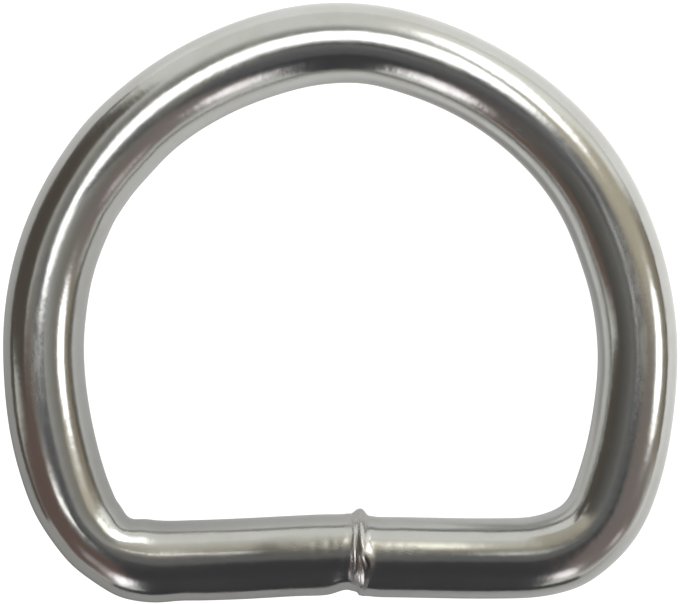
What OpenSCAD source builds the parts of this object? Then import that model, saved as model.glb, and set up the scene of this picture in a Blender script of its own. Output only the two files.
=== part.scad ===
// Welded D ring: one round wire bent to a D and butt welded in its strap bar.
// It lies flat on Z = 0 with the bar along X and the crown towards +Y.
// All bend radii are those of the inside of the wire, where it was bent round its mandrels.

/* [Wire] */
// Diameter of the round wire
wire_d = 4; // [2.5:0.1:5.5]

/* [Opening] */
// Clear width of the ring at its widest
inner_w = 25.4; // [23:0.1:30]
// Clear height from the bar's seam to the crown
inner_h = 21.4; // [20:0.1:26]

/* [Bow] */
// Inside radius of the softly pointed crown
crown_r = 9.8; // [6:0.1:12]
// Angle of the crown on each side of its middle
crown_a = 15.4; // [8:0.1:20]
// Inside radius of the flatter shoulders beside the crown
shoulder_r = 15.7; // [12.5:0.1:18]
// Angle of the left shoulder
left_shoulder_a = 15.9; // [6:0.1:20]
// Angle of the right shoulder
right_shoulder_a = 10.5; // [6:0.1:20]
// Inside radius of the nearly straight sides
side_r = 20.1; // [14:0.1:40]

/* [Strap bar] */
// Inside radius of the two bends between side and bar
corner_r = 2.65; // [1:0.05:5]
// Rise of the bar's left run towards the seam, in degrees
left_rise = 2.1; // [0:0.1:4]
// Rise of the bar's right run towards the seam, in degrees
right_rise = 0.8; // [0:0.1:4]

/* [Weld] */
// Distance of the seam to the right of the ring's middle
seam_x = 0.8; // [-4:0.1:4]
// How far the left wire end stands above the right one
seam_step = 0.2; // [0:0.05:0.4]
// Width of each of the two raised lips
lip_w = 0.4; // [0.2:0.05:0.8]
// Spacing of the two lips, from middle to middle
lip_gap = 0.34; // [0.15:0.01:0.6]
// Height of the lips over the wire, towards the opening and on the top face
lip_h = 0.26; // [0.1:0.01:0.45]
// Depth of the lips under the wire's surface, towards the outside and underneath
lip_sink = 0.04; // [0.02:0.01:0.1]

/* [Hidden] */
$fn = 96;
wire_r = wire_d / 2;
// A ball this much larger than the wire closes each joint between two bends
joint_skin = 0.005;
// Each wire end runs this far past the seam, into the other one
weld_bite = 0.15;
// Outer radius of the lips, and their move off the wire's axis: they stand high on one side
// and sink into the wire on the other
lip_edge_r = wire_r + (lip_h - lip_sink) / 2;
lip_shift = (lip_h + lip_sink) / 2;
LEFT = -1;
RIGHT = 1;

// The wire's centreline starts at the crown, which is the plan's origin until the last move.
half_w = inner_w / 2 + wire_r;
crown_c = crown_r + wire_r;
shoulder_c = shoulder_r + wire_r;
side_c = side_r + wire_r;
corner_c = corner_r + wire_r;

function shoulder_a(side) = side == LEFT ? left_shoulder_a : right_shoulder_a;
function rise(side) = side == LEFT ? left_rise : right_rise;

// Height of the wire's axis at the seam, under the crown's axis, on each side of the step
function seam_y(side) = -(inner_h + wire_d) - side * seam_step / 2;

// Arc centres of one half, worked out as if it were the right-hand one
function polar(a) = [sin(a), cos(a)];
crown_mid = [0, -crown_c];
shoulder_mid = crown_mid - (shoulder_c - crown_c) * polar(crown_a);
function haunch_from(side) = crown_a + shoulder_a(side);
// The haunch's radius makes the bow reach its widest point, half_w from the middle
function haunch_c(side) =
    (half_w - shoulder_mid.x - shoulder_c * sin(haunch_from(side))) / (1 - sin(haunch_from(side)));
function haunch_mid(side) =
    shoulder_mid - (haunch_c(side) - shoulder_c) * polar(haunch_from(side));
function side_mid(side) = [half_w - side_c, haunch_mid(side).y];
// The side turns in until the bar corner can touch both it and the bar's sloping run
function corner_line_y(side) =
    seam_y(side) + side * seam_x * tan(rise(side)) + corner_c / cos(rise(side));
function side_a(side) = rise(side) + asin(cos(rise(side)) / (side_c - corner_c)
    * (side_mid(side).y + side_mid(side).x * tan(rise(side)) - corner_line_y(side)));
function corner_mid(side) =
    side_mid(side) + (side_c - corner_c) * [cos(side_a(side)), -sin(side_a(side))];
function bar_start(side) =
    corner_mid(side) - corner_c * [sin(rise(side)), cos(rise(side))];
function bar_len(side) = (bar_start(side).x - side * seam_x) / cos(rise(side));

// Lowest edge of the outline, and the move that centres the ring on the origin
low_y = min(corner_mid(LEFT).y, corner_mid(RIGHT).y) - corner_c - wire_r;
mid_y = (wire_r + low_y) / 2;

// Ball on a joint of two bends, with its poles along the wire so that its equator is the joint
module joint_ball(centre, radius, a)
    translate(centre + radius * polar(a))
        rotate(-a)
            rotate([0, 90, 0])
                sphere(r = wire_r + joint_skin);

// A bend of the wire round a centre, between two angles counted from +Y towards +X.
// A ball closes its far end, where the next bend takes over without a step.
module bend(centre, radius, from_a, to_a) {
    translate(centre)
        rotate(90 - to_a)
            rotate_extrude(angle = to_a - from_a)
                translate([radius, 0])
                    circle(r = wire_r);
    joint_ball(centre, radius, to_a);
}

module crown() {
    bend(crown_mid, crown_c, -crown_a, crown_a);
    joint_ball(crown_mid, crown_c, -crown_a);
}

// Straight run of the bar, from its corner to just past the seam
module bar_run(side)
    translate(bar_start(side))
        rotate(180 - rise(side))
            rotate([0, 90, 0])
                cylinder(h = bar_len(side) + weld_bite, r = wire_r);

// Raised lip round one wire end: a disc with a round edge, rooted in the wire
module lip(side)
    translate([side * seam_x + lip_gap / 2, seam_y(side) + lip_shift, lip_shift])
        rotate([0, 90, 0])
            rotate_extrude() {
                translate([lip_edge_r - lip_w / 2, 0])
                    circle(d = lip_w);
                translate([0, -lip_w / 2])
                    square([lip_edge_r - lip_w / 2, lip_w]);
            }

// Shoulder, haunch, side, bar corner and bar run of one half, with its lip of the weld
module half_ring(side)
    mirror([side == LEFT ? 1 : 0, 0, 0]) {
        bend(shoulder_mid, shoulder_c, crown_a, haunch_from(side));
        bend(haunch_mid(side), haunch_c(side), haunch_from(side), 90);
        bend(side_mid(side), side_c, 90, 90 + side_a(side));
        bend(corner_mid(side), corner_c, 90 + side_a(side), 180 + rise(side));
        bar_run(side);
        lip(side);
    }

module d_ring()
    color("silver")
        translate([0, -mid_y, wire_r + joint_skin]) {
            crown();
            half_ring(LEFT);
            half_ring(RIGHT);
        }

d_ring();
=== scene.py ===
import math

import bpy
import numpy as np
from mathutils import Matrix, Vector


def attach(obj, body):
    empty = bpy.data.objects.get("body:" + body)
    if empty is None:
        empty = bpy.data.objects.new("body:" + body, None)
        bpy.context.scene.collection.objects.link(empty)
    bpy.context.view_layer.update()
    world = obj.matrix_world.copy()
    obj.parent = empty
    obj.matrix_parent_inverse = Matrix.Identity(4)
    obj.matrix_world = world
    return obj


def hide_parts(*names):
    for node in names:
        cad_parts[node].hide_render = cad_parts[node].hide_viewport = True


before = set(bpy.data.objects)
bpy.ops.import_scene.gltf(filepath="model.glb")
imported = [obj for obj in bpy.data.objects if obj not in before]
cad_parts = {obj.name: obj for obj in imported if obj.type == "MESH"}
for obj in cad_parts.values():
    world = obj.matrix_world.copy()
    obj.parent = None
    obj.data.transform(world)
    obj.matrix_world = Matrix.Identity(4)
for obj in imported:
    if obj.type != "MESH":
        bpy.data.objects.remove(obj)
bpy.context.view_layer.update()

# The ring. One length of drawn round steel wire, bent to a D round mandrels, with a tight bend at each end
# of the strap bar. The two ends meet in the bar, where they are pressed together and butt welded, and the
# whole ring is nickel plated after that.

MM = 0.001
wire_r = 1.978 * MM
inner_w = 25.4 * MM
inner_h = 21.4 * MM
mandrel_to_axis = 2.0 * MM
crown_r = 9.8 * MM + mandrel_to_axis
crown_turn = 15.4
shoulder_r = 15.7 * MM + mandrel_to_axis
shoulder_turn = {"left": 15.9, "right": 10.5}
side_r = 20.1 * MM + mandrel_to_axis
corner_r = 2.65 * MM + mandrel_to_axis
bar_rise = {"left": 2.1, "right": 0.8}
seam_x = 0.8 * MM
seam_step = 0.2 * MM
bend_easing = 0.55 * MM
axis_spacing = 0.02 * MM


def compass(turn):
    """Direction in the ring's plane, counted in degrees from the crown towards the right."""
    return np.array([math.sin(math.radians(turn)), math.cos(math.radians(turn))])


def bend_points(middle, radius, start, end):
    """Points of the wire's axis round one mandrel."""
    count = max(2, int(abs(math.radians(end - start)) * radius / axis_spacing))
    return [middle + radius * compass(a) for a in np.linspace(start, end, count, endpoint=False)]


def half_axis(side):
    """The axis of one half from the crown to the seam, as if it were the right-hand half."""
    sign = 1 if side == "right" else -1
    rise = bar_rise[side]
    seam_y = -(inner_h + 2 * mandrel_to_axis) - sign * seam_step / 2
    crown_mid = np.array([0.0, -crown_r])
    shoulder_mid = crown_mid - (shoulder_r - crown_r) * compass(crown_turn)
    haunch_start = crown_turn + shoulder_turn[side]
    sine = math.sin(math.radians(haunch_start))
    half_w = inner_w / 2 + mandrel_to_axis
    haunch_r = (half_w - shoulder_mid[0] - shoulder_r * sine) / (1 - sine)
    haunch_mid = shoulder_mid - (haunch_r - shoulder_r) * compass(haunch_start)
    side_mid = np.array([half_w - side_r, haunch_mid[1]])
    slope = math.tan(math.radians(rise))
    corner_line = seam_y + sign * seam_x * slope + corner_r / math.cos(math.radians(rise))
    reach = (side_mid[1] + side_mid[0] * slope - corner_line) * math.cos(math.radians(rise))
    side_turn = rise + math.degrees(math.asin(reach / (side_r - corner_r)))
    corner_mid = side_mid + (side_r - corner_r) * compass(90 + side_turn)
    bar_start = corner_mid + corner_r * compass(180 + rise)
    bar_end = np.array([sign * seam_x, seam_y])
    points = bend_points(crown_mid, crown_r, 0, crown_turn)
    points += bend_points(shoulder_mid, shoulder_r, crown_turn, haunch_start)
    points += bend_points(haunch_mid, haunch_r, haunch_start, 90)
    points += bend_points(side_mid, side_r, 90, 90 + side_turn)
    points += bend_points(corner_mid, corner_r, 90 + side_turn, 180 + rise)
    run = int(np.linalg.norm(bar_end - bar_start) / axis_spacing)
    points += [bar_start + (bar_end - bar_start) * t for t in np.linspace(0, 1, run)]
    points = np.array(points)
    low = corner_mid[1] - corner_r - mandrel_to_axis
    points[:, 0] *= sign
    return points, low


right_half, right_low = half_axis("right")
left_half, left_low = half_axis("left")
mid_y = (mandrel_to_axis + min(right_low, left_low)) / 2
axis = np.vstack([right_half[::-1], left_half[1:]])
axis[:, 1] -= mid_y


def lengths_along(points):
    """Length of wire up to each point, from the first one."""
    return np.concatenate([[0], np.cumsum(np.linalg.norm(np.diff(points, axis=0), axis=1))])


def eased(points, reach):
    """The closed axis at an even spacing, with the changes between its bends eased over a short reach."""
    loop = np.vstack([points, points[:1]])
    at = lengths_along(loop)
    count = int(at[-1] / axis_spacing)
    even = np.linspace(0, at[-1], count, endpoint=False)
    loop = np.column_stack([np.interp(even, at, loop[:, k]) for k in range(2)])
    waves = np.fft.fftfreq(count, d=at[-1] / count)
    fade = np.exp(-2 * (math.pi * waves * reach) ** 2)
    return np.column_stack([np.fft.ifft(np.fft.fft(loop[:, k]) * fade).real for k in range(2)])


# The wire ends stand a little apart at the seam. The step is taken out before the bends are eased and put
# back on the finished skin, so that it stays sharp.
step_reach = 2.5
near_seam = np.exp(-(((axis[:, 0] - seam_x) / (step_reach * MM)) ** 2)) * (axis[:, 1] < 0)
axis[:, 1] += np.where(axis[:, 0] > seam_x, 1, -1) * near_seam * seam_step / 2
axis = eased(axis, bend_easing)
run = lengths_along(np.vstack([axis, axis[:1]]))
wire_length = run[-1]


def from_seam(along):
    """Signed distance from the seam, counted along the wire, in millimetres: plus to the right."""
    return np.where(along > wire_length / 2, along - wire_length, along) / MM


# the skin's rings of points lie closer together at the weld than along the rest of the wire
fine = 0.03 * MM
coarse = 0.104 * MM
fine_until, coarse_from = 1.1, 2.0
spacing_share = np.clip((np.abs(from_seam(run)) - fine_until) / (coarse_from - fine_until), 0, 1)
spacing_here = fine + (coarse - fine) * spacing_share
rings_so_far = np.concatenate([[0], np.cumsum(np.diff(run) * 2 / (spacing_here[1:] + spacing_here[:-1]))])
ring_count = int(rings_so_far[-1])
along = np.interp(np.linspace(0, rings_so_far[-1], ring_count, endpoint=False), rings_so_far, run)
loop = np.vstack([axis, axis[:1]])
centre = np.column_stack([np.interp(along, run, loop[:, k]) for k in range(2)])
ahead = np.column_stack([np.interp((along + fine) % wire_length, run, loop[:, k]) for k in range(2)])
behind = np.column_stack([np.interp((along - fine) % wire_length, run, loop[:, k]) for k in range(2)])
travel = ahead - behind
travel /= np.linalg.norm(travel, axis=1)[:, None]
outward = np.column_stack([travel[:, 1], -travel[:, 0]])

# Where the bending squeezed or swelled the wire: how far the outer and the inner edge move away from the
# axis. The two bar corners are squeezed the most, and the sides next to them are a little flat inside.
squeezes = [
    # place from the seam, reach, outer edge, inner edge, all in millimetres
    (-43.3, 2.2, 0.00, 0.05),
    (-40.0, 5.0, 0.00, 0.07),
    (-34.2, 1.4, 0.04, 0.06),
    (-30.8, 0.7, 0.00, -0.03),
    (-25.2, 1.6, 0.00, 0.035),
    (-19.0, 2.5, 0.07, 0.02),
    (-15.0, 0.7, 0.00, 0.04),
    (-14.3, 1.25, -0.16, -0.09),
    (-12.5, 0.9, -0.08, -0.28),
    (-11.4, 0.6, 0.045, 0.00),
    (-10.4, 1.4, 0.08, 0.02),
    (-9.1, 0.8, -0.05, 0.00),
    (-6.0, 2.5, 0.05, -0.03),
    (5.5, 3.0, 0.06, -0.06),
    (10.2, 0.8, 0.06, 0.00),
    (11.8, 1.6, 0.00, -0.17),
    (15.6, 2.6, 0.09, -0.08),
    (20.2, 2.8, 0.05, -0.10),
    (26.4, 1.6, 0.00, 0.045),
    (30.5, 3.2, 0.08, -0.06),
    (37.0, 2.0, -0.03, 0.00),
    (43.0, 1.5, 0.00, -0.05),
]
outer_move = np.zeros(ring_count)
inner_move = np.zeros(ring_count)
round_trip = wire_length / MM
for squeeze_at, reach, outer, inner in squeezes:
    away = (from_seam(along) - squeeze_at + round_trip / 2) % round_trip - round_trip / 2
    swell = np.exp(-((away / reach) ** 2))
    outer_move += outer * MM * swell
    inner_move += inner * MM * swell

wire_line = bpy.data.meshes.new("wire_line")
wire_line.from_pydata(
    [(x, y, wire_r) for x, y in centre], [(i, (i + 1) % ring_count) for i in range(ring_count)], []
)
for name, kind, values in (
    ("axis_point", "FLOAT_VECTOR", np.column_stack([centre, np.full(ring_count, wire_r)])),
    ("outward", "FLOAT_VECTOR", np.column_stack([outward, np.zeros(ring_count)])),
    ("along", "FLOAT", along),
    ("outer_move", "FLOAT", outer_move),
    ("inner_move", "FLOAT", inner_move),
):
    layer = wire_line.attributes.new(name, kind, "POINT")
    layer.data.foreach_set("vector" if kind == "FLOAT_VECTOR" else "value", values.astype(np.float32).ravel())


def placed(name, data):
    """An object that holds a mesh, a lamp or a camera, put into the scene."""
    holder = bpy.data.objects.new(name, data)
    bpy.context.scene.collection.objects.link(holder)
    return holder


ring = placed("ring_wire", wire_line)


def add_node(tree, kind, settings=None, **inputs):
    """A node with its settings and its inputs by name or number; a socket given as an input is linked."""
    node = tree.nodes.new(kind)
    for key, value in (settings or {}).items():
        setattr(node, key, value)
    for key, value in inputs.items():
        numbered = key[0] == "i" and key[1:].isdigit()
        slot = node.inputs[int(key[1:]) if numbered else key.replace("_", " ")]
        if isinstance(value, bpy.types.NodeSocket):
            tree.links.new(value, slot)
        else:
            slot.default_value = value
    return node


def sum_up(tree, operation, *values):
    """Result of one plain sum."""
    numbered = {f"i{k}": value for k, value in enumerate(values)}
    return add_node(tree, "ShaderNodeMath", {"operation": operation}, **numbered).outputs[0]


def vector_sum(tree, operation, *values, out=0):
    """Result of one sum on vectors."""
    numbered = {f"i{k}": value for k, value in enumerate(values)}
    if operation == "SCALE":
        numbered["Scale"] = numbered.pop("i1")
    return add_node(tree, "ShaderNodeVectorMath", {"operation": operation}, **numbered).outputs[out]


# The drawn wire: a round section carried along the axis, squeezed where it was bent, with the faint
# unevenness that drawing, bending and tumbling leave in it.
draw = bpy.data.node_groups.new("drawn_wire", "GeometryNodeTree")
for name, kind in (
    ("Axis", "NodeSocketGeometry"),
    ("Wire Radius", "NodeSocketFloat"),
    ("Facets", "NodeSocketInt"),
    ("Unevenness", "NodeSocketFloat"),
    ("Unevenness Spacing", "NodeSocketFloat"),
    ("Seed", "NodeSocketFloat"),
    ("Plating", "NodeSocketMaterial"),
):
    draw.interface.new_socket(name, in_out="INPUT", socket_type=kind)
draw.interface.new_socket("Wire", in_out="OUTPUT", socket_type="NodeSocketGeometry")
given = draw.nodes.new("NodeGroupInput").outputs
result = draw.nodes.new("NodeGroupOutput")
curve = add_node(draw, "GeometryNodeMeshToCurve", Mesh=given["Axis"]).outputs[0]
curve = add_node(draw, "GeometryNodeSetCurveNormal", {"mode": "Z_UP"}, Curve=curve).outputs[0]
section = add_node(
    draw, "GeometryNodeCurvePrimitiveCircle", {"mode": "RADIUS"},
    Resolution=given["Facets"], Radius=given["Wire Radius"],
).outputs[0]
skin = add_node(draw, "GeometryNodeCurveToMesh", Curve=curve, Profile_Curve=section).outputs[0]


def carried(name, kind):
    """A value that the axis carries to the skin."""
    return add_node(draw, "GeometryNodeInputNamedAttribute", {"data_type": kind}, Name=name).outputs[0]


point = draw.nodes.new("GeometryNodeInputPosition").outputs[0]
out_way = carried("outward", "FLOAT_VECTOR")
arm = vector_sum(draw, "SUBTRACT", point, carried("axis_point", "FLOAT_VECTOR"))
arm = vector_sum(draw, "NORMALIZE", arm)
out_share = vector_sum(draw, "DOT_PRODUCT", arm, out_way, out=1)
up_share = add_node(draw, "ShaderNodeSeparateXYZ", Vector=arm).outputs[2]
outer_part = sum_up(draw, "MULTIPLY", sum_up(draw, "MAXIMUM", out_share, 0.0), carried("outer_move", "FLOAT"))
inner_part = sum_up(draw, "MULTIPLY", sum_up(draw, "MINIMUM", out_share, 0.0), carried("inner_move", "FLOAT"))
squeeze = vector_sum(draw, "SCALE", out_way, sum_up(draw, "ADD", outer_part, inner_part))
straight = add_node(
    draw, "ShaderNodeCombineXYZ",
    X=sum_up(draw, "MULTIPLY", out_share, given["Wire Radius"]),
    Y=sum_up(draw, "MULTIPLY", up_share, given["Wire Radius"]),
    Z=carried("along", "FLOAT"),
).outputs[0]
# the unevenness is drawn out along the wire
longer = sum_up(draw, "MULTIPLY", given["Unevenness Spacing"], 1.6)
patch_size = add_node(
    draw, "ShaderNodeCombineXYZ", X=given["Unevenness Spacing"], Y=given["Unevenness Spacing"], Z=longer,
).outputs[0]
grain = add_node(
    draw, "ShaderNodeTexNoise", {"noise_dimensions": "4D"},
    Vector=vector_sum(draw, "DIVIDE", straight, patch_size), W=given["Seed"],
    Scale=1.0, Detail=2.0, Roughness=0.5,
).outputs[0]
lift = sum_up(draw, "MULTIPLY", sum_up(draw, "SUBTRACT", grain, 0.5), given["Unevenness"])
uneven = vector_sum(draw, "SCALE", arm, lift)
skin = add_node(
    draw, "GeometryNodeSetPosition", Geometry=skin, Offset=vector_sum(draw, "ADD", squeeze, uneven)
).outputs[0]
skin = add_node(
    draw, "GeometryNodeStoreNamedAttribute", {"data_type": "FLOAT_VECTOR", "domain": "POINT"},
    Geometry=skin, Name="wire_place", i3=straight,
).outputs[0]
skin = add_node(draw, "GeometryNodeSetShadeSmooth", Geometry=skin).outputs[0]
skin = add_node(draw, "GeometryNodeRealizeInstances", Geometry=skin).outputs[0]
skin = add_node(draw, "GeometryNodeSetMaterial", Geometry=skin, Material=given["Plating"]).outputs[0]
draw.links.new(skin, result.inputs[0])

nickel = bpy.data.materials.new("bright_nickel")

modifier = ring.modifiers.new("drawn_wire", "NODES")
modifier.node_group = draw
sockets = {
    item.name: item.identifier
    for item in draw.interface.items_tree
    if item.item_type == "SOCKET" and item.in_out == "INPUT"
}
for name, value in (
    ("Wire Radius", wire_r),
    ("Facets", 96),
    ("Unevenness", 0.012 * MM),
    ("Unevenness Spacing", 2.4 * MM),
    ("Seed", 5.0),
    ("Plating", nickel),
):
    modifier[sockets[name]] = value
bpy.context.view_layer.update()
skin_mesh = bpy.data.meshes.new_from_object(ring.evaluated_get(bpy.context.evaluated_depsgraph_get()))
ring.modifiers.clear()
ring.data = skin_mesh
skin_mesh.name = "ring_wire"

# The weld is shaped on the finished skin. Every place on it is known by its distance from the seam and
# by its angle round the wire: 0 on top, 90 on the outside, -90 on the inside.
count = len(skin_mesh.vertices)
spots = np.empty(count * 3, np.float32)
skin_mesh.vertices.foreach_get("co", spots)
spots = spots.reshape(-1, 3).astype(float)
place = np.empty(count * 3, np.float32)
skin_mesh.attributes["wire_place"].data.foreach_get("vector", place)
place = place.reshape(-1, 3).astype(float)
sideways = from_seam(place[:, 2])
turn = np.degrees(np.arctan2(place[:, 0], place[:, 1]))
out_here = [np.interp(place[:, 2], along, outward[:, k], period=wire_length) for k in range(2)]
to_outside, to_top = np.sin(np.radians(turn)), np.cos(np.radians(turn))
radial = np.column_stack([out_here[0] * to_outside, out_here[1] * to_outside, to_top])


def hump(value, middle, reach):
    """A smooth hump of height 1."""
    return np.exp(-(((value - middle) / reach) ** 2))


def facing(angle, power=1.0):
    """How squarely the skin faces an angle round the wire, from 0 to 1."""
    return np.clip(np.cos(np.radians(turn - angle)), 0, 1) ** power


def ease(value, low, high):
    """0 below low, 1 above high, with a smooth change between."""
    t = np.clip((value - low) / (high - low), 0, 1)
    return t * t * (3 - 2 * t)


def falling_off(value, middle, left_reach, right_reach):
    """A hump whose two sides fall off over different reaches."""
    return hump(value, middle, np.where(value < middle, left_reach, right_reach))


# the knob that the squeezed-out metal makes towards the opening, and the flat beside it
knob = np.exp(-(np.abs(sideways) / 0.21) ** 2.2)
move = hump(turn, -92, 42) * (0.27 * knob + 0.03 * hump(sideways, 0.42, 0.2))
move -= 0.05 * hump(turn, -95, 40) * falling_off(sideways, -0.7, 0.9, 0.25)
move -= 0.05 * hump(turn, -95, 40) * hump(sideways, -0.37, 0.13)
# across the upper face, from left to right: a slope down to the seam, the left lip, the groove, the right
# lip and its long slope. Each step has its start, its end and its rise, in millimetres, and towards the
# outside of the ring the lips part like a fan.
on_top = ease(turn, -85, -50) * (1 - 0.85 * ease(turn, 2, 24))
parted = sideways + 0.7 * (1 - ease(turn, -40, -5)) * (sideways + 0.13)
parted -= 0.2 * ease(turn, 2, 30) * np.tanh((sideways + 0.2) / 0.2)
for step_from, step_to, rise in (
    (-1.15, -0.66, -0.030), (-0.54, -0.38, 0.050), (-0.34, -0.22, -0.060), (-0.18, 0.06, 0.120),
    (0.07, 0.85, -0.080),
):
    move += rise * on_top * ease(parted, step_from, step_to)
# a crooked gap that runs across the right lip and back, and a drop of metal caught in its bend
gap_at = np.interp(turn, (-16, 3, 16), (-0.08, 0.36, 0.20))
gap = hump(turn, -1, 16) * hump(sideways, gap_at, 0.07)
move -= 0.05 * gap * (1 - 0.7 * ease(turn, 0, 8))
move += 0.065 * np.exp(-(((sideways - 0.04) / 0.10) ** 2) - ((turn + 6) / 5) ** 2)
# the flat that a jaw pressed beside the right lip
move -= 0.018 * hump(sideways, 0.5, 0.4) * hump(turn, -19, 9)
# the notch in the outer edge, the bulge beside it, and the fan of streaks that runs into them
move -= 0.178 * facing(96, 1.3) * falling_off(sideways, -0.82, 0.53, 0.40)
move += 0.085 * facing(96, 1.3) * falling_off(sideways, -0.06, 0.17, 0.15)
move -= 0.05 * facing(96, 1.3) * hump(sideways, 0.4, 0.4)
move += 0.04 * facing(96, 3.5) * hump(sideways, -2.0, 0.9)
fan = np.zeros(count)
for streak_at, lean, middle in ((-0.49, 0.006, 32), (-0.23, 0.002, 37), (0.34, -0.0069, 35)):
    fan += hump(turn, middle, 14) * hump(sideways, streak_at + lean * (turn - middle), 0.10)
move += 0.006 * fan
# shallow marks of the jaws on both sides: place, angle round the wire and depth
for dent_at, dent_turn, depth in (
    (-2.2, -16, 0.014), (-1.55, -20, 0.015), (-1.1, -17, 0.006),
    (1.45, -19, 0.007), (2.0, -16, 0.008), (2.5, -20, 0.006), (3.1, -18, 0.004),
):
    move -= depth * hump(sideways, dent_at, 0.16) * hump(turn, dent_turn, 15)

# small lumps all round the weld
grains = np.random.default_rng(11)
for _ in range(22):
    middle, angle = grains.uniform(-0.5, 0.4), grains.uniform(-180, 180)
    size = grains.uniform(0.09, 0.18)
    round_off = (turn - angle + 180) % 360 - 180
    swell = grains.uniform(-0.014, 0.014)
    arc = np.radians(round_off) * wire_r / MM
    move += swell * hump(sideways, middle, size) * hump(arc, 0, size * 1.4)

spots += radial * (move * MM)[:, None]
# the step between the wire ends comes back, ramped over a short way at the seam itself
step_ramp = 0.2
step_share = np.where(sideways > 0, -1, 1) * hump(sideways, 0, step_reach)
step_share *= np.clip(np.abs(sideways) / step_ramp, 0, 1)
spots[:, 1] += step_share * seam_step / 2
spots[:, 2] = np.maximum(spots[:, 2], 0.0)
skin_mesh.vertices.foreach_set("co", spots.astype(np.float32).ravel())


def keep_share(name, share):
    """Keeps a share for each point of the skin, for the plating's material to read."""
    layer = skin_mesh.attributes.new(name, "FLOAT", "POINT")
    layer.data.foreach_set("value", np.clip(share, 0, 1).astype(np.float32))


weld_share = np.exp(-(((sideways + 0.15) / 0.5) ** 4)) * (0.42 - 0.08 * ease(turn, 10, 24))
keep_share("weld", weld_share + 0.7 * fan)
# painted shade darkens the groove between the lips and the gap
between = hump(parted, -0.20, 0.06) * ease(turn, -42, -25) * (1 - ease(turn, 4, 16))
keep_share("painted_groove_shade", 0.8 * between + 0.9 * gap)
for name in ("axis_point", "outward", "along", "outer_move", "inner_move"):
    if name in skin_mesh.attributes:
        skin_mesh.attributes.remove(skin_mesh.attributes[name])
skin_mesh.update()

# Marks that the bending tools left along the wire: places from the seam and angles round the wire, each
# with its reach, where the skin is faintly rippled.
tool_marks = np.zeros(count)
for mark_at, mark_turn, reach, spread, depth in (
    (22.0, 0, 4.6, 6, 1.0), (12.5, -14, 2.2, 8, 0.2), (-22.5, 3, 2.6, 6, 0.9), (-11.0, -8, 2.5, 9, 0.1),
    (2.0, -18, 1.6, 9, 0.5), (-1.9, -18, 1.5, 9, 0.5),
):
    tool_marks += depth * hump(sideways, mark_at, reach) * hump(turn, mark_turn, spread)
keep_share("tool_marks", tool_marks)


def cloudy(tree, place, scale, detail, roughness=0.5, distortion=0.0):
    """Soft random shades, from 0 to 1."""
    node = add_node(
        tree, "ShaderNodeTexNoise", Vector=place, Scale=scale, Detail=detail, Roughness=roughness,
        Distortion=distortion,
    )
    return node.outputs[0]


# Fine lines along the wire from the drawing die.
die_lines = bpy.data.node_groups.new("die_lines", "ShaderNodeTree")
die_lines.interface.new_socket("Place", in_out="INPUT", socket_type="NodeSocketVector")
die_lines.interface.new_socket("Lines per mm", in_out="INPUT", socket_type="NodeSocketFloat")
die_lines.interface.new_socket("Height", in_out="OUTPUT", socket_type="NodeSocketFloat")
given = die_lines.nodes.new("NodeGroupInput").outputs
result = die_lines.nodes.new("NodeGroupOutput")
stretched = vector_sum(die_lines, "MULTIPLY", given["Place"], (1.0, 1.0, 0.02))
die_lines.links.new(cloudy(die_lines, stretched, given["Lines per mm"], 3.0, 0.6), result.inputs[0])


def graded(tree, value, low, high, to_low=0.0, to_high=1.0, smooth=False):
    """A value carried over from one range to another and held at its ends."""
    settings = {"interpolation_type": "SMOOTHSTEP"} if smooth else None
    node = add_node(
        tree, "ShaderNodeMapRange", settings,
        Value=value, From_Min=low, From_Max=high, To_Min=to_low, To_Max=to_high,
    )
    return node.outputs[0]


# Hair scratches from handling: two sets of long cells that cross each other.
hair = bpy.data.node_groups.new("hair_scratches", "ShaderNodeTree")
for name, kind in (("Place", "NodeSocketVector"), ("Scale", "NodeSocketFloat"), ("Width", "NodeSocketFloat")):
    hair.interface.new_socket(name, in_out="INPUT", socket_type=kind)
hair.interface.new_socket("Scratch", in_out="OUTPUT", socket_type="NodeSocketFloat")
given = hair.nodes.new("NodeGroupInput").outputs
result = hair.nodes.new("NodeGroupOutput")
total = None
for spin, squash in (((0.5, 0.9, 0.35), (1.0, 0.05, 0.6)), ((-0.8, 0.3, 1.2), (0.7, 1.0, 0.045))):
    lean = add_node(hair, "ShaderNodeMapping", Vector=given["Place"], Rotation=spin, Scale=squash)
    bend = add_node(hair, "ShaderNodeTexNoise", Vector=given["Place"], Scale=0.4, Detail=1.0).outputs["Color"]
    warped = vector_sum(hair, "ADD", lean.outputs[0], vector_sum(hair, "SCALE", bend, 0.25))
    cells = add_node(
        hair, "ShaderNodeTexVoronoi", {"feature": "DISTANCE_TO_EDGE"}, Vector=warped, Scale=given["Scale"],
    ).outputs[0]
    line = graded(hair, cells, 0.0, given["Width"], 1.0, 0.0)
    elsewhere = vector_sum(hair, "ADD", given["Place"], (7.3 * spin[0], 3.0, 5.0))
    some = graded(hair, cloudy(hair, elsewhere, 0.9, 2.0), 0.52, 0.66)
    one = sum_up(hair, "MULTIPLY", line, some)
    total = one if total is None else sum_up(hair, "MAXIMUM", total, one)
hair.links.new(total, result.inputs[0])

# Bright nickel plate, faintly warm, with soft smudges, hair scratches and tool marks. Over the weld it is
# duller and greyish pink, and the weld's grooves are painted dark with shade.
nickel.use_nodes = True
plate = nickel.node_tree
plate.nodes.clear()
shader = plate.nodes.new("ShaderNodeBsdfPrincipled")
surface = plate.nodes.new("ShaderNodeOutputMaterial")
plate.links.new(shader.outputs[0], surface.inputs[0])
shader.inputs["Metallic"].default_value = 1.0


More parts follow.
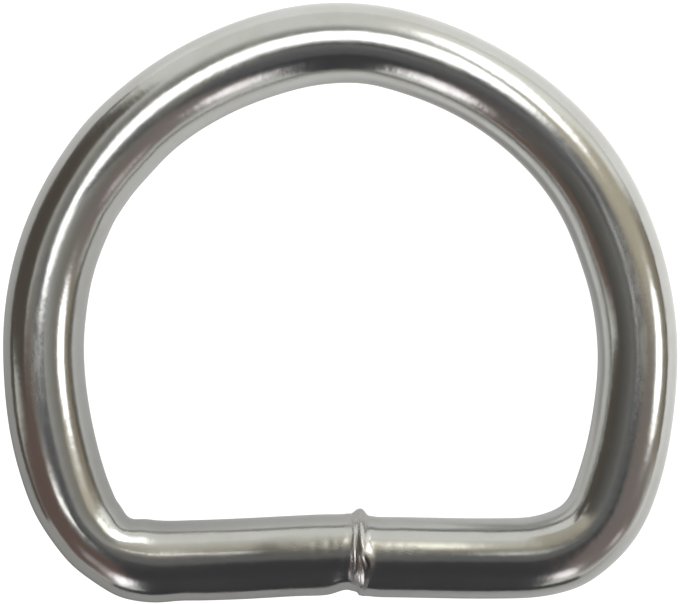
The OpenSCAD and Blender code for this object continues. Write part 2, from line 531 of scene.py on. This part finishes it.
def blend(tree, share, first, second):
    """A colour mixed from two, each of them a socket or its red, green and blue."""
    colour_slots, result_slot = (6, 7), 2
    mix = add_node(tree, "ShaderNodeMix", {"data_type": "RGBA"})
    tree.links.new(share, mix.inputs[0])
    for slot, colour in zip(colour_slots, (first, second)):
        if isinstance(colour, bpy.types.NodeSocket):
            tree.links.new(colour, mix.inputs[slot])
        else:
            mix.inputs[slot].default_value = (*colour, 1)
    return mix.outputs[result_slot]


def from_skin(name, output="Fac"):
    """A value that the skin carries."""
    return add_node(plate, "ShaderNodeAttribute", {"attribute_name": name}).outputs[output]


place_mm = vector_sum(plate, "SCALE", from_skin("wire_place", "Vector"), 1 / MM)
weld_here = from_skin("weld")
marks_here = from_skin("tool_marks")
lines = add_node(
    plate, "ShaderNodeGroup", {"node_tree": die_lines}, Place=place_mm, Lines_per_mm=9.0,
).outputs[0]
scratch = add_node(
    plate, "ShaderNodeGroup", {"node_tree": hair}, Place=place_mm, Scale=1.1, Width=0.012,
).outputs[0]
smudge = graded(plate, cloudy(plate, place_mm, 0.35, 3.0, 0.6, 0.6), 0.42, 0.7)
weld_grain = cloudy(plate, place_mm, 5.0, 4.0, 0.65)
dull = sum_up(plate, "MULTIPLY", weld_here, graded(plate, weld_grain, 0.3, 0.7))
fleck_place = vector_sum(plate, "MULTIPLY", place_mm, (4.4, 4.4, 1.3))
flecks = cloudy(plate, fleck_place, 1.0, 2.0, 0.55)
peel = cloudy(plate, place_mm, 1.6, 2.0)

clean_tone, smudged_tone = (0.555, 0.560, 0.540), (0.525, 0.525, 0.495)
weld_tone, groove_shade_tone = (0.50, 0.475, 0.485), (0.09, 0.08, 0.078)
tone = blend(plate, smudge, clean_tone, smudged_tone)
tone = blend(plate, sum_up(plate, "MULTIPLY", dull, 0.7), tone, weld_tone)
# painted shade in the weld's groove and gap
tone = blend(plate, from_skin("painted_groove_shade"), tone, groove_shade_tone)
plate.links.new(tone, shader.inputs["Base Color"])

rough = 0.145
for cause, share in (
    (smudge, 0.05),
    (scratch, 0.06),
    (sum_up(plate, "POWER", weld_here, 2.0), 0.3),
    (dull, 0.2),
    (lines, 0.03),
    (sum_up(plate, "MULTIPLY_ADD", graded(plate, flecks, 0.42, 0.66), 0.22, 0.14), marks_here),
):
    rough = sum_up(plate, "MULTIPLY_ADD", cause, share, rough)
plate.links.new(rough, shader.inputs["Roughness"])

# relief too fine for the mesh, in millimetres
height = sum_up(plate, "MULTIPLY", peel, 0.008)
for cause, rise in (
    (lines, 0.00035),
    (scratch, -0.0003),
    (sum_up(plate, "MULTIPLY", flecks, marks_here), 0.005),
    (sum_up(plate, "MULTIPLY", weld_grain, weld_here), 0.005),
):
    height = sum_up(plate, "MULTIPLY_ADD", cause, rise, height)
relief = add_node(plate, "ShaderNodeBump", Strength=1.0, Distance=MM, Height=height)
plate.links.new(relief.outputs[0], shader.inputs["Normal"])

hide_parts("d_ring")
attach(ring, "root")

# The table: a plain white sheet that the ring lies on. The picture is exposed for the dark metal, so the
# sheet itself comes out white, and what the metal shows of it is darker.
sheet = bpy.data.meshes.new("white_table")
sheet.from_pydata([(-0.6, -0.6, 0), (0.6, -0.6, 0), (0.6, 0.6, 0), (-0.6, 0.6, 0)], [], [(0, 1, 2, 3)])
table = placed("white_table", sheet)
white = bpy.data.materials.new("white_paper")
white.use_nodes = True
on_paper = white.node_tree
paper = on_paper.nodes["Principled BSDF"]
paper.inputs["Roughness"].default_value = 0.9
paper.inputs["Specular IOR Level"].default_value = 0.1
seen = add_node(on_paper, "ShaderNodeLightPath").outputs["Is Camera Ray"]
# seen in the metal it has painted light: its tone is brighter towards the key light than towards the bar and
# the left
sheet_place = add_node(on_paper, "ShaderNodeTexCoord").outputs["Object"]
towards_key = vector_sum(on_paper, "DOT_PRODUCT", sheet_place, (0.6, 0.8, 0.0), out=1)
slope = graded(on_paper, towards_key, -16 * MM, 14 * MM, 0.40, 0.91)
# inside the ring's right side the sheet carries a painted shade of the wire, about 3 mm from the wire
from_middle = vector_sum(on_paper, "ADD", sheet_place, (0, 1.5 * MM, 0))
radius = vector_sum(on_paper, "LENGTH", from_middle, out=1)
ring_off = graded(on_paper, radius, 6.9 * MM, 11.7 * MM, -1.0, 1.0)
band = sum_up(on_paper, "MULTIPLY_ADD", sum_up(on_paper, "MULTIPLY", ring_off, ring_off), -1.0, 1.0)
sheet_x, sheet_y, _ = add_node(on_paper, "ShaderNodeSeparateXYZ", Vector=sheet_place).outputs
rightwards = graded(on_paper, sheet_x, -1 * MM, 6 * MM, 0.0, 0.42)
off_the_bar = graded(on_paper, sheet_y, -8.5 * MM, -5 * MM)
painted_wire_shade = sum_up(on_paper, "MULTIPLY", sum_up(on_paper, "MULTIPLY", rightwards, off_the_bar), band)
# the painted shade of the wire is taken out of the sheet's painted light
slope = sum_up(on_paper, "MULTIPLY", slope, sum_up(on_paper, "SUBTRACT", 1.0, painted_wire_shade))
paper_tone = add_node(on_paper, "ShaderNodeCombineColor", Red=slope, Green=slope, Blue=slope).outputs[0]
on_paper.links.new(paper_tone, paper.inputs["Base Color"])
# where the metal sees it, the sheet also glows with this painted light, though it is no lamp
painted_glow_tone = sum_up(on_paper, "MULTIPLY", slope, 1.3)
painted_glow = add_node(on_paper, "ShaderNodeEmission", Strength=1.0, Color=painted_glow_tone).outputs[0]
in_metal = add_node(on_paper, "ShaderNodeMixShader", i0=0.38, i1=paper.outputs[0], i2=painted_glow).outputs[0]
# the camera sees it burnt out, with no shade left in it, so there it is a plain bright tone
burnt_out = (1.125, 1.125, 1.125, 1)
in_camera = add_node(on_paper, "ShaderNodeEmission", Strength=1.0, Color=burnt_out).outputs[0]
whole = add_node(on_paper, "ShaderNodeMixShader", i0=seen, i1=in_metal, i2=in_camera)
on_paper.links.new(whole.outputs[0], on_paper.nodes["Material Output"].inputs[0])
# the metal finds the sheet and the cards by itself, so no light sampling is spent on them
white.cycles.emission_sampling = "NONE"
sheet.materials.append(white)

# The light of the room, as it stands round the ring: pale walls, a dark gap towards the bar where the
# camera is held, and soft lamps.
room = bpy.data.worlds.new("studio_room")
bpy.context.scene.world = room
room.use_nodes = True
# its lamps are wide, so a coarse map of it is enough to sample it by, and the render starts sooner
room.cycles.sampling_method = "MANUAL"
room.cycles.sample_map_resolution = 256
air = room.node_tree
air.nodes.clear()

patch = bpy.data.node_groups.new("soft_panel", "ShaderNodeTree")
for name, kind in (
    ("Way", "NodeSocketVector"),
    ("Middle", "NodeSocketVector"),
    ("Across", "NodeSocketVector"),
    ("Along", "NodeSocketVector"),
    ("Half Width", "NodeSocketFloat"),
    ("Half Length", "NodeSocketFloat"),
    ("Softness", "NodeSocketFloat"),
    ("Squareness", "NodeSocketFloat"),
):
    patch.interface.new_socket(name, in_out="INPUT", socket_type=kind)
patch.interface.new_socket("Share", in_out="OUTPUT", socket_type="NodeSocketFloat")
given = patch.nodes.new("NodeGroupInput").outputs
result = patch.nodes.new("NodeGroupOutput")
just_ahead = 0.02
depth = vector_sum(patch, "DOT_PRODUCT", given["Way"], given["Middle"], out=1)
ahead_only = sum_up(patch, "GREATER_THAN", depth, just_ahead)
depth = sum_up(patch, "MAXIMUM", depth, just_ahead)
offs = []
for side_way, half in (("Across", "Half Width"), ("Along", "Half Length")):
    off = vector_sum(patch, "DOT_PRODUCT", given["Way"], given[side_way], out=1)
    off = sum_up(patch, "ABSOLUTE", sum_up(patch, "DIVIDE", off, depth))
    off = sum_up(patch, "DIVIDE", off, given[half])
    offs.append(sum_up(patch, "POWER", off, given["Squareness"]))
reach = sum_up(patch, "POWER", sum_up(patch, "ADD", *offs), sum_up(patch, "DIVIDE", 1.0, given["Squareness"]))
edge_from = sum_up(patch, "SUBTRACT", 1.0, given["Softness"])
edge_to = sum_up(patch, "ADD", 1.0, given["Softness"])
edge = graded(patch, reach, edge_from, edge_to, 1.0, 0.0, smooth=True)
patch.links.new(sum_up(patch, "MULTIPLY", ahead_only, edge), result.inputs[0])

way = vector_sum(air, "NORMALIZE", add_node(air, "ShaderNodeTexCoord").outputs["Generated"])


def panel(tone, azimuth, zenith, half_width, half_length, colour, softness, spin, squareness):
    """The room's tone with one soft panel in it, at angles in degrees. The softness is a share of its size,
    and the squareness goes from 2 for a round panel upwards."""
    a, z = math.radians(azimuth), math.radians(zenith)
    middle = Vector((math.sin(z) * math.cos(a), math.sin(z) * math.sin(a), math.cos(z)))
    across = Vector((-math.sin(a), math.cos(a), 0))
    up = middle.cross(across)
    s = math.radians(spin)
    across, up = across * math.cos(s) + up * math.sin(s), up * math.cos(s) - across * math.sin(s)
    group = add_node(
        air, "ShaderNodeGroup", {"node_tree": patch}, Way=way, Middle=middle, Across=across, Along=up,
        Half_Width=math.tan(math.radians(half_width)), Half_Length=math.tan(math.radians(half_length)),
        Softness=softness, Squareness=squareness,
    )
    return blend(air, group.outputs[0], tone, colour)


tone = (0.84, 0.85, 0.81)
for azimuth, zenith, half_width, half_length, colour, softness, spin, squareness in (
    # the pale wall past the crown, brighter on the right
    (90, 68, 42, 23, (0.93, 0.94, 0.90), 0.3, 0, 6),
    (50, 70, 24, 11, (1.15, 1.15, 1.08), 0.4, 0, 6),
    # the dim room beside and under the camera
    (0, 0, 40, 40, (0.30, 0.29, 0.27), 0.4, 0, 2),
    (0, 0, 22, 22, (0.17, 0.17, 0.175), 0.35, 0, 2),
    # tan walls and furniture on the right, dark ones on the left
    (3, 66, 21, 24, (0.34, 0.30, 0.23), 0.2, 0, 6),
    (3, 86, 21, 3.5, (0.14, 0.11, 0.09), 0.35, 0, 6),
    (26, 42, 13, 24, (0.62, 0.56, 0.44), 0.3, 0, 6),
    (-40, 48, 24, 34, (0.26, 0.22, 0.21), 0.3, 0, 6),
    (-142, 56, 28, 31, (0.18, 0.125, 0.11), 0.25, 0, 6),
    (158, 66, 26, 22, (0.11, 0.095, 0.08), 0.1, 0, 6),
    # the dark gap towards the bar, and four small soft glints in it
    (-90, 47, 16, 43, (0.06, 0.06, 0.065), 0.15, 0, 6),
    (-40, 68, 4, 7, (0.8, 0.72, 0.72), 0.5, 0, 2),
    (-67, 63, 5, 10, (1.9, 1.8, 1.85), 0.5, 0, 2),
    (-130, 58, 4, 9, (0.5, 0.44, 0.45), 0.5, 0, 2),
    (-114, 67, 5.5, 13, (2.4, 2.3, 2.4), 0.5, 0, 2),
    # the two lamps
    (57, 49, 8, 17, (4.0, 4.0, 4.0), 0.3, 34, 2.2),
    (-2, 58, 9, 9, (4.0, 4.0, 4.0), 0.25, 0, 2.4),
):
    tone = panel(tone, azimuth, zenith, half_width, half_length, colour, softness, spin, squareness)
around = add_node(air, "ShaderNodeBackground", Color=tone, Strength=1.0).outputs[0]
backdrop = add_node(air, "ShaderNodeBackground", Color=(0.86, 0.86, 0.86, 1), Strength=1.0).outputs[0]
seen = add_node(air, "ShaderNodeLightPath").outputs["Is Camera Ray"]
chooser = add_node(air, "ShaderNodeMixShader", i0=seen, i1=around, i2=backdrop)
air.links.new(chooser.outputs[0], add_node(air, "ShaderNodeOutputWorld").inputs[0])


def lamp(name, at, size, power, turn_to=(0, 0, -1), spread=180.0, glossy=True, diffuse=True):
    """A flat soft lamp that the camera doesn't see; its power is in watts and its spread in degrees."""
    light = bpy.data.lights.new(name, "AREA")
    light.shape = "RECTANGLE"
    light.size, light.size_y = size
    light.energy = power
    light.spread = math.radians(spread)
    holder = placed(name, light)
    holder.location = at
    holder.rotation_euler = Vector(turn_to).to_track_quat("-Z", "Y").to_euler()
    holder.visible_camera = False
    holder.visible_glossy = glossy
    holder.visible_diffuse = diffuse


def mirrored_only(name, corners):
    """Makes a flat sheet that shows in the metal only, with corners in millimetres, and gives its material's
    empty tree."""
    mesh = bpy.data.meshes.new(name)
    mesh.from_pydata([tuple(c * MM for c in corner) for corner in corners], [], [(0, 1, 2, 3)])
    holder = placed(name, mesh)
    paint = bpy.data.materials.new(name)
    paint.use_nodes = True
    paint.node_tree.nodes.clear()
    paint.cycles.emission_sampling = "NONE"
    mesh.materials.append(paint)
    holder.visible_camera = False
    holder.visible_diffuse = False
    holder.visible_shadow = False
    return paint.node_tree


def faded_edge(tree, value, nothing_at, full_at):
    """A share that grows smoothly from nothing to full between two places, in whichever order they lie."""
    rising = nothing_at < full_at
    low, high = sorted((nothing_at, full_at))
    return graded(tree, value, low, high, 0.0 if rising else 1.0, 1.0 if rising else 0.0, smooth=True)


def ramp(tree, share, stops):
    """A colour that changes with a share, by its stops: each has a place from 0 to 1 and a colour."""
    node = tree.nodes.new("ShaderNodeValToRGB")
    tree.links.new(share, node.inputs[0])
    elements = node.color_ramp.elements
    while len(elements) < len(stops):
        elements.new(0.5)
    for element, (at, colour) in zip(elements, stops):
        element.position, element.color = at, (*colour, 1)
    return node.outputs[0]


def card(name, corners, front, back, fade=None):
    """A card with tones from its lower to its upper edge, on its front and on its back. Its edges thin out
    over the widths in fade: a pair for x, y and z, for the low and the high edge, in millimetres."""
    tree = mirrored_only(name, corners)
    place = add_node(tree, "ShaderNodeTexCoord").outputs["Object"]
    spot = add_node(tree, "ShaderNodeSeparateXYZ", Vector=place).outputs
    heights = [corner[2] * MM for corner in corners]
    rise = graded(tree, spot[2], min(heights), max(heights))
    strength = 1.0
    for k, (low_fade, high_fade) in enumerate(fade or ()):
        low, high = (pick(corner[k] for corner in corners) * MM for pick in (min, max))
        for edge, inner in ((low, low + low_fade * MM), (high, high - high_fade * MM)):
            if edge != inner:
                dim = sum_up(tree, "POWER", faded_edge(tree, spot[k], edge, inner), 2.0)
                strength = sum_up(tree, "MULTIPLY", strength, dim)
    shines = []
    for tones in (front, back):
        shines.append(add_node(tree, "ShaderNodeEmission", Color=ramp(tree, rise, tones)).outputs[0])
    seen_from_behind = add_node(tree, "ShaderNodeNewGeometry").outputs["Backfacing"]
    whole = add_node(tree, "ShaderNodeMixShader", i0=seen_from_behind, i1=shines[0], i2=shines[1]).outputs[0]
    if strength != 1.0:
        clear = add_node(tree, "ShaderNodeBsdfTransparent").outputs[0]
        whole = add_node(tree, "ShaderNodeMixShader", i0=strength, i1=clear, i2=whole).outputs[0]
    tree.links.new(whole, add_node(tree, "ShaderNodeOutputMaterial").inputs[0])


def plain(colour):
    """One tone all over, in the form that a card's tones have."""
    return [(0.0, colour), (1.0, colour)]


def level_card(name, low, high, height, colour, fade):
    """A level card over the ring that shines down."""
    (x0, y0), (x1, y1) = low, high
    corners = [(x0, y0, height), (x0, y1, height), (x1, y1, height), (x1, y0, height)]
    card(name, corners, plain(colour), plain(colour), fade)


# Beside the lens the ring sees a bright opening that curves round it, from the right shoulder over the
# crown to the left side. It draws the long highlight along the wire. Its edges are radii in millimetres, each
# at an azimuth in degrees.
opening_height = 37
opening_from, opening_to = 43, 183
full_scale_azimuth, full_scale_radius = 200, 50
inner_edge = [
    (40, 16), (65, 15.2), (90, 13.6), (112, 11.4), (125, 9.6), (140, 9.0), (170, 9.3), (185, 9.5),
]
outer_edge = [
    (40, 25), (55, 29), (64, 33), (74, 32.5), (84, 30), (110, 26), (140, 22), (160, 20), (185, 17.5),
]
opening_plan = [(-36, -8), (-36, 36), (36, 36), (36, -8)]
tree = mirrored_only("opening_beside_lens", [(x, y, opening_height) for x, y in opening_plan])
spot = add_node(tree, "ShaderNodeTexCoord").outputs["Object"]
spot_x, spot_y, _ = add_node(tree, "ShaderNodeSeparateXYZ", Vector=spot).outputs
radius = vector_sum(tree, "LENGTH", vector_sum(tree, "MULTIPLY", spot, (1.0 / MM, 1.0 / MM, 0.0)), out=1)
azimuth = sum_up(tree, "DEGREES", sum_up(tree, "ARCTAN2", spot_y, spot_x))
azimuth = sum_up(tree, "MODULO", sum_up(tree, "ADD", azimuth, 360.0), 360.0)
edges = []
for edge in (inner_edge, outer_edge):
    stops = []
    for at, size in edge:
        level = size / full_scale_radius
        stops.append((at / full_scale_azimuth, (level, level, level)))
    curve = ramp(tree, graded(tree, azimuth, 0.0, full_scale_azimuth), stops)
    edges.append(sum_up(tree, "MULTIPLY", curve, full_scale_radius))
strength = 2.8
for value, edge, nothing_at, full_at in (
    # places where it has nothing and where it is full, both counted from the edge
    (radius, edges[0], -3.6, 3.0),
    (radius, edges[1], 1.6, -1.6),
    (azimuth, opening_from, -5.0, 5.0),
    (azimuth, opening_to, 4.0, -4.0),
):
    past = sum_up(tree, "SUBTRACT", value, edge)
    strength = sum_up(tree, "MULTIPLY", strength, faded_edge(tree, past, nothing_at, full_at))
clear = add_node(tree, "ShaderNodeBsdfTransparent").outputs[0]
shine = add_node(tree, "ShaderNodeEmission", Strength=sum_up(tree, "MAXIMUM", strength, 1.0)).outputs[0]
veil = add_node(tree, "ShaderNodeMixShader", i0=sum_up(tree, "MINIMUM", strength, 1.0), i1=clear, i2=shine)
tree.links.new(veil.outputs[0], add_node(tree, "ShaderNodeOutputMaterial").inputs[0])
soft_edges = ((2.0, 2.0), (2.0, 2.0))
level_card(
    "opening_over_left_corner", (-31.5, -18.5), (-18.5, -13.5), opening_height, (3.4, 3.4, 3.4), soft_edges,
)
level_card("opening_over_right_side", (8.5, -5), (15, 8), opening_height, (1.0, 1.0, 0.98), soft_edges)


def upright_card(name, start, end, low, high, front, back, fade=None):
    """An upright card between two places on the sheet and between two heights, in millimetres."""
    (x0, y0), (x1, y1) = start, end
    card(name, [(x0, y0, low), (x1, y1, low), (x1, y1, high), (x0, y0, high)], front, back, fade)


# the lens and its hood: as the bar sees them, as the two sides see them, and over the left end of the bar
upright_card(
    "card_facing_bar", (-13, 4), (13, 4), 13, 42,
    [(0.0, (0.80, 0.79, 0.74)), (0.5, (0.50, 0.455, 0.365)), (1.0, (0.20, 0.175, 0.15))],
    [(0.0, (0.12, 0.12, 0.13)), (1.0, (0.24, 0.24, 0.24))],
)
upright_card(
    "spot_facing_bar", (-1.5, 3.8), (10.5, 3.8), 9, 37,
    plain((2.3, 2.24, 1.98)), [(0.0, (0.14, 0.14, 0.14)), (1.0, (0.24, 0.24, 0.24))],
    ((6.5, 4.0), (0, 0), (14, 16)),
)
upright_card(
    "card_facing_sides", (-5, -10), (-5, 12), 13, 60,
    [(0.0, (0.10, 0.095, 0.085)), (1.0, (0.24, 0.24, 0.24))],
    [(0.0, (0.24, 0.23, 0.20)), (0.35, (0.40, 0.39, 0.37)), (1.0, (0.55, 0.55, 0.55))],
)
upright_card(
    "card_over_left_end", (-17, -5), (-8, -5), 20, 34,
    [(0.0, (0.32, 0.29, 0.24)), (1.0, (0.18, 0.17, 0.155))], plain((0.2, 0.2, 0.2)),
)
# low dark edges of the room behind the bar and beyond the left side, and a tan one by the right corner
behind_bar, beyond_left = plain((0.05, 0.05, 0.055)), plain((0.12, 0.098, 0.085))
low_tan = [(0.0, (0.60, 0.56, 0.47)), (1.0, (0.34, 0.31, 0.25))]
upright_card("dark_behind_bar", (-22, -33), (22, -33), 0, 5, behind_bar, behind_bar)
upright_card("dark_beyond_left", (-34, -22), (-34, 40), 0, 5, beyond_left, beyond_left)
upright_card(
    "card_at_right_corner", (8.9, -10), (11.6, -10), 4.2, 9, low_tan, low_tan, ((0.7, 0.7), (0, 0), (0, 1.5)),
)
# a small lamp with a grid, aimed at the left bar corner; its power follows from how bright it looks
corner_lamp_at, corner_lamp_aim = Vector((-8.2, -4.3, 7.3)) * MM, Vector((-12.4, -10.6, 3.4)) * MM
corner_lamp_size = (5.0 * MM, 3.6 * MM)
corner_lamp_spread = 60
brightness = 3.0
within_cone = math.pi * math.sin(math.radians(corner_lamp_spread / 2)) ** 2
corner_lamp_power = brightness * corner_lamp_size[0] * corner_lamp_size[1] * within_cone
lamp(
    "light_on_left_corner", corner_lamp_at, corner_lamp_size, corner_lamp_power,
    corner_lamp_aim - corner_lamp_at, corner_lamp_spread, diffuse=False,
)
# the key light that falls on the sheet from the upper right, so that the wire shades it on the other side
key_azimuth, key_steepness, key_distance = math.radians(50), 0.85, 0.4
key_way = Vector((math.cos(key_azimuth), math.sin(key_azimuth), key_steepness)).normalized()
lamp("key_light", key_way * key_distance, (0.28, 0.28), 1.6, -key_way, glossy=False)

# The camera looks straight down on the ring from 9 cm, with the long bar a touch off level. A pixel of the
# picture is 0.0496 mm at the height of the wire's axis.
distance = 90.0 * MM
wire_axis_height = 2.0 * MM
picture_width_px = 680
px = 0.0496 * MM
off_middle = (0.032 * MM, -0.035 * MM)
off_level = -0.504
eye = bpy.data.cameras.new("eye")
eye.sensor_width = 36.0
eye.lens = eye.sensor_width * distance / (picture_width_px * px)
eye.clip_start = 0.001
eye.clip_end = 10.0
viewer = placed("viewer", eye)
viewer.location = (*off_middle, wire_axis_height + distance)
viewer.rotation_euler = (0.0, 0.0, math.radians(off_level))
bpy.context.scene.camera = viewer
bpy.context.scene.view_settings.view_transform = "Standard"
